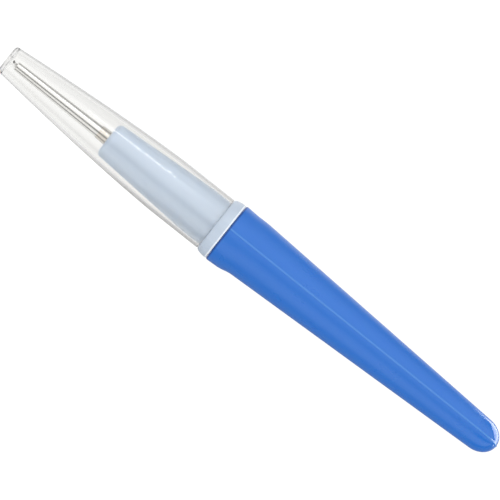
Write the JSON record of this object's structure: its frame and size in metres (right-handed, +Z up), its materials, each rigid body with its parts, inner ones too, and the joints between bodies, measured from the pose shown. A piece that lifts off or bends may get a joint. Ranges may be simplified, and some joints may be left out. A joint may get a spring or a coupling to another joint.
{
  "type": "periodontal probe",
  "caption": "Straight hand probe: tapered hollow handle with a collar, a nose cone, a slim steel shank with a ball end, and a clear push-on cap.",
  "frame": {"origin": "under the middle of the capped tool, on the surface it lies on", "axes": "+X along the tool's axis towards the butt, so the working tip points to -X; +Z up, with the handle's lengthwise seam in the XZ plane; +Y towards the left shell"},
  "size_m": [0.1312, 0.014, 0.0142],
  "materials": {
    "clear_plastic": "clear moulded, polished, faint warm grey in the wall",
    "pale_plastic": "pale blue translucent moulding with a soft gloss",
    "blue_plastic": "mid blue moulding, soft gloss, fine weld line",
    "polished_steel": "polished stainless steel, drawn lengthwise",
    "amber_adhesive": "cured amber adhesive"
  },
  "bodies": {
    "body": {"handle_shell_left": "blue_plastic", "handle_shell_right": "blue_plastic", "nose": "pale_plastic", "probe": "polished_steel", "bond_bead": "amber_adhesive"},
    "cap": {"cap": "clear_plastic"}
  },
  "joints": [
    {"name": "cap_slide", "type": "slide", "parent": "body", "child": "cap", "axis": [-1, 0, 0], "range_m": [0, 0.06]}
  ]
}
